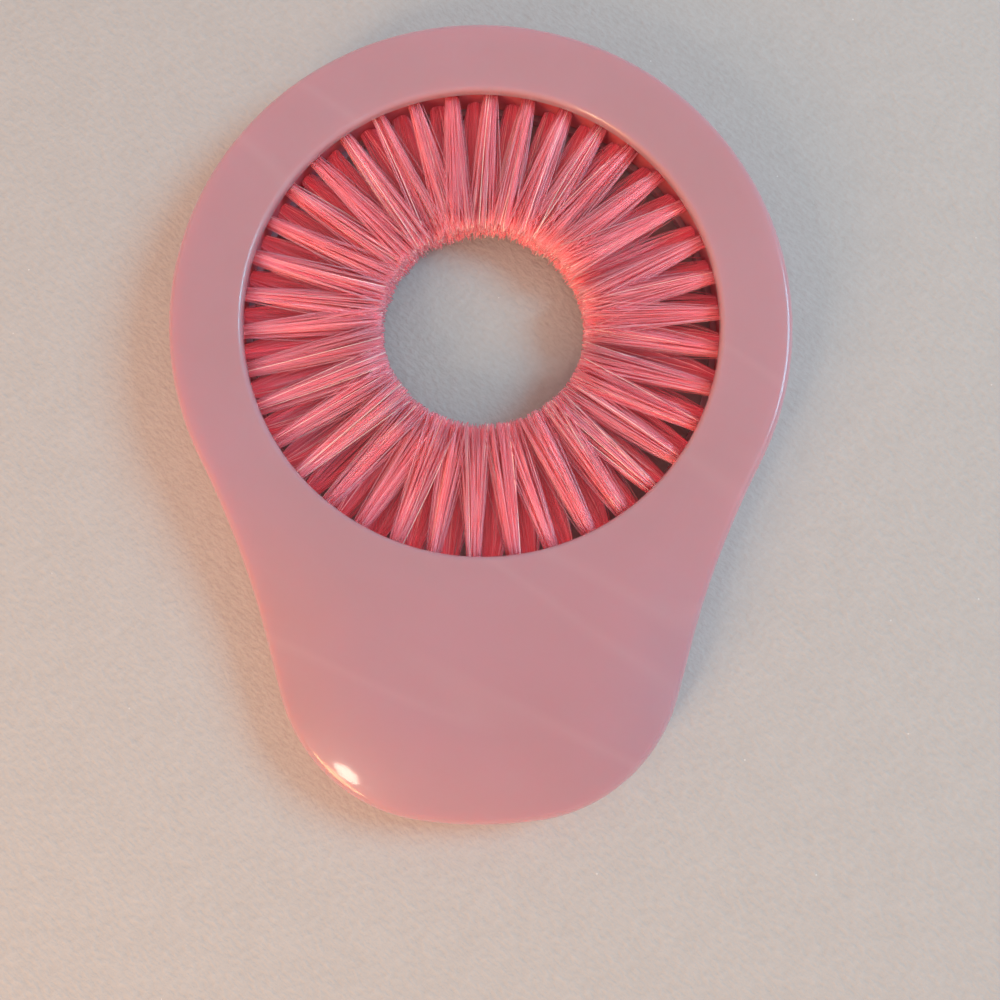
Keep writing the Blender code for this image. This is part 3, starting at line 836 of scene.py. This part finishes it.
def shell_plastic():
    """Milky pink moulded plastic: light soaks a few millimetres in, the skin is glossy. It has
    faint pale streak lines, which are painted reflections; below the ring it is painted lighter and
    warmer on the left, where the lamp falls, and darker on the right, as painted shade."""
    material, nodes, links, shader, place = new_material("milky_pink_plastic")
    cloud = add_noise(nodes, links, place, SHELL_CLOUD)
    colour = add_ramp(nodes, links, cloud, SHELL_CLOUD_EDGES, (SHELL_DEEP, SHELL_PALE))
    # Painted reflections: faint pale streaks mixed into the shell's colour
    reflection_noise = add_noise(nodes, links, place, SHELL_REFLECTION_LINES)
    line = add_ramp(nodes, links, reflection_noise, SHELL_REFLECTION_EDGES, (BLACK, WHITE, BLACK))
    line = add_range(nodes, links, line, 0.0, SHELL_REFLECTION_STRENGTH)
    streaked = add_mix(nodes, links, line, colour, SHELL_PAINTED_REFLECTION)
    # Painted light and shade: below the ring the colour is made lighter and warmer towards the
    # left, where the lamp falls, and darker towards the right
    axes = nodes.new("ShaderNodeSeparateXYZ")
    links.new(place, axes.inputs["Vector"])
    aside = add_share(nodes, links, axes.outputs["X"], -PAINTED_SHADING_REACH, PAINTED_SHADING_REACH)
    painted_shading = add_ramp(nodes, links, aside, (0.0, 1.0), (LEFT_PAINTED_LAMP_LIGHT, RIGHT_PAINTED_SHADE))
    down = add_share(nodes, links, axes.outputs["Y"], RING_CENTRE.y, HANDLE_END, "SMOOTHSTEP")
    with_painted_shading = add_mix(nodes, links, down, streaked, painted_shading, "MULTIPLY")
    links.new(with_painted_shading, shader.inputs["Base Color"])
    wear = add_noise(nodes, links, place, SHELL_WEAR)
    links.new(add_range(nodes, links, wear, *SHELL_ROUGHNESS), shader.inputs["Roughness"])
    shader.inputs["Coat Weight"].default_value = SHELL_COAT
    shader.inputs["Coat Roughness"].default_value = SHELL_COAT_ROUGHNESS
    add_relief(nodes, links, add_noise(nodes, links, place, SHELL_SKIN), shader, SHELL_RELIEF)
    let_light_in(shader, SHELL_SOAK_SHARE, SHELL_SOAK, SHELL_SOAK_DEPTH)
    shader.inputs["IOR"].default_value = SHELL_IOR
    return material


def strip_plastic():
    """Deep pink plastic of the strip that holds the tufts; its deep red is partly its own colour
    and partly painted shade of the bore.
    """
    material, nodes, links, shader, place = new_material("strip_plastic")
    cloud = add_noise(nodes, links, place, STRIP_CLOUD)
    colour = add_ramp(nodes, links, cloud, CLOUD_EDGES, (STRIP_DEEP, STRIP_PALE))
    links.new(colour, shader.inputs["Base Color"])
    shader.inputs["Roughness"].default_value = STRIP_ROUGHNESS
    let_light_in(shader, STRIP_SOAK_SHARE, STRIP_SOAK, STRIP_SOAK_DEPTH)
    add_relief(nodes, links, cloud, shader, STRIP_RELIEF)
    return material


def bristle_nylon(name, tones, glow):
    """Clear pink nylon; each filament has its own depth of colour, and a few are painted pale as
    glints. The faint emitted glow is painted light: it stands for the light that the filaments lead
    along inside themselves."""
    material, nodes, links, shader, place = new_material(name)
    own = nodes.new("ShaderNodeNewGeometry").outputs["Random Per Island"]
    # The last tone paints a few filaments pale, as painted glints
    colour = add_ramp(nodes, links, own, TONE_EDGES, tones)
    streaks = add_noise(nodes, links, place, NYLON_STREAKS)
    shade = add_ramp(nodes, links, streaks, CLOUD_EDGES, (STREAK_SHADE, WHITE))
    shaded = add_mix(nodes, links, STREAK_STRENGTH, colour, shade, "MULTIPLY")
    links.new(shaded, shader.inputs["Base Color"])
    links.new(add_range(nodes, links, own, *NYLON_ROUGHNESS), shader.inputs["Roughness"])
    shader.subsurface_method = "BURLEY"
    let_light_in(shader, NYLON_SOAK_SHARE, NYLON_SOAK, NYLON_SOAK_DEPTH)
    shader.inputs["IOR"].default_value = NYLON_IOR
    # Painted light: a faint emitted glow, though the nylon is no lamp
    shader.inputs["Emission Color"].default_value = (*glow, 1.0)
    shader.inputs["Emission Strength"].default_value = 1.0
    return material


def bristle_tips():
    """Cut ends of the filaments, where the light that runs along them comes out."""
    material, nodes, links, shader, place = new_material("bristle_cut_ends")
    grain = add_noise(nodes, links, place, TIP_GRAIN)
    colour = add_ramp(nodes, links, grain, CLOUD_EDGES, (UPPER_PALE, TIP_PALE))
    links.new(colour, shader.inputs["Base Color"])
    shader.inputs["Roughness"].default_value = TIP_ROUGHNESS
    return material


def felt():
    """Pale felted cloth under the brush: fine matted fibres, and rare pale dots painted on as
    glints.
    """
    material, nodes, links, shader, place = new_material("pale_felt")
    nap = add_noise(nodes, links, place, FELT_NAP)
    fibres = add_noise(nodes, links, place, FELT_FIBRES)
    patches = add_noise(nodes, links, place, FELT_PATCHES)
    mat = add_math(nodes, links, "ADD", nap, fibres)
    cloth = add_math(nodes, links, "MULTIPLY_ADD", patches, FELT_PATCH_STRENGTH, mat)
    share = add_share(nodes, links, cloth, *FELT_RANGE)
    colour = add_ramp(nodes, links, share, (0.0, 1.0), (FELT_DEEP, FELT_PALE))
    # Painted glints: rare pale dots on the felt
    dots = nodes.new("ShaderNodeTexVoronoi")
    dots.inputs["Scale"].default_value = 1 / PAINTED_GLINT_SPACING
    links.new(place, dots.inputs["Vector"])
    near = add_math(nodes, links, "LESS_THAN", dots.outputs["Distance"], PAINTED_GLINT_SIZE)
    rare = add_math(nodes, links, "GREATER_THAN", dots.outputs["Color"], PAINTED_GLINT_RARITY)
    glint = add_math(nodes, links, "MULTIPLY", near, rare)
    links.new(add_mix(nodes, links, glint, colour, FELT_PAINTED_GLINT), shader.inputs["Base Color"])
    shader.inputs["Roughness"].default_value = FELT_ROUGHNESS
    add_relief(nodes, links, cloth, shader, FELT_RELIEF)
    shader.inputs["Sheen Weight"].default_value = FELT_SHEEN
    return material


def make_floor(material):
    bm = bmesh.new()
    bmesh.ops.create_circle(bm, cap_ends=True, segments=FLOOR_STEPS, radius=FLOOR_RADIUS)
    floor = add_object("floor", mesh_from(bm, "floor"), material)
    if floor.data.polygons[0].normal.z < 0:
        floor.data.flip_normals()


def add_light(name, azimuth, elevation, distance, size, power, colour):
    """Round lamp aimed at the middle of the brush, from a direction in degrees."""
    turn, rise = math.radians(azimuth), math.radians(elevation)
    way = Vector((math.cos(turn) * math.cos(rise), math.sin(turn) * math.cos(rise), math.sin(rise)))
    lamp = bpy.data.lights.new(name, "AREA")
    lamp.shape = "DISK"
    lamp.size = size
    lamp.energy = power
    lamp.color = colour
    holder = bpy.data.objects.new(name, lamp)
    holder.location = Vector((0.0, 0.0, MID_HEIGHT)) + way * distance
    holder.rotation_euler = way.to_track_quat("Z", "Y").to_euler()
    bpy.context.scene.collection.objects.link(holder)


def light_room():
    add_light("warm_lamp", LAMP_AZIMUTH, LAMP_ELEVATION, LAMP_DISTANCE, LAMP_SIZE,
              LAMP_POWER, LAMP_COLOUR)
    add_light("bulb", BULB_AZIMUTH, BULB_ELEVATION, BULB_DISTANCE, BULB_SIZE,
              BULB_POWER, BULB_COLOUR)
    add_light("daylight", WINDOW_AZIMUTH, WINDOW_ELEVATION, WINDOW_DISTANCE, WINDOW_SIZE,
              WINDOW_POWER, WINDOW_COLOUR)
    world = bpy.data.worlds.new("pale_room")
    world.use_nodes = True
    background = world.node_tree.nodes["Background"]
    background.inputs["Color"].default_value = (*ROOM_COLOUR, 1.0)
    background.inputs["Strength"].default_value = ROOM_STRENGTH
    bpy.context.scene.world = world


def add_camera():
    data = bpy.data.cameras.new("photo_camera")
    data.lens = CAMERA_LENS
    data.sensor_width = CAMERA_SENSOR
    camera = bpy.data.objects.new("photo_camera", data)
    tilt_x, tilt_y, tilt_z = (math.radians(a) for a in CAMERA_TILT)
    turn = Matrix.Rotation(tilt_z, 4, "Z") @ Matrix.Rotation(tilt_y, 4, "Y")
    turn = turn @ Matrix.Rotation(tilt_x, 4, "X")
    camera.matrix_world = Matrix.Translation(CAMERA_PLACE) @ turn
    bpy.context.scene.collection.objects.link(camera)
    bpy.context.scene.camera = camera


def set_pieces():
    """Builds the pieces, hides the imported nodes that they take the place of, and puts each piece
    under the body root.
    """
    plastic = shell_plastic()
    front = make_front_shell(plastic)
    rear = make_rear_shell(plastic)
    strip = make_strip(strip_plastic())
    upper_tones = (UPPER_DEEP, UPPER_MID, UPPER_PALE, UPPER_PAINTED_GLINT)
    upper_nylon = bristle_nylon("upper_nylon", upper_tones, UPPER_PAINTED_GLOW)
    # The lower row gets a redder copy of the nylon, painted for the light that reaches it through
    # the upper row
    lower_painted_tones = (LOWER_PAINTED_DEEP, LOWER_PAINTED_MID, LOWER_PAINTED_PALE, LOWER_PAINTED_GLINT)
    lower_nylon_painted_filtered_light = bristle_nylon("lower_nylon_painted_filtered_light", lower_painted_tones, LOWER_PAINTED_GLOW)
    cut_ends = bristle_tips()
    tufts = [make_tufts(0, "upper_tufts", upper_nylon, cut_ends),
             make_tufts(1, "lower_tufts", lower_nylon_painted_filtered_light, cut_ends)]
    slices = [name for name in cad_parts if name.startswith("bristle_strip_")]
    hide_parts("front_shell")
    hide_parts("rear_shell")
    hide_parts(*slices)
    for piece in (front, rear, strip, *tufts):
        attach(piece, "root")


def main():
    bpy.context.scene.view_settings.view_transform = "Standard"
    add_camera()
    light_room()
    make_floor(felt())
    set_pieces()


main()
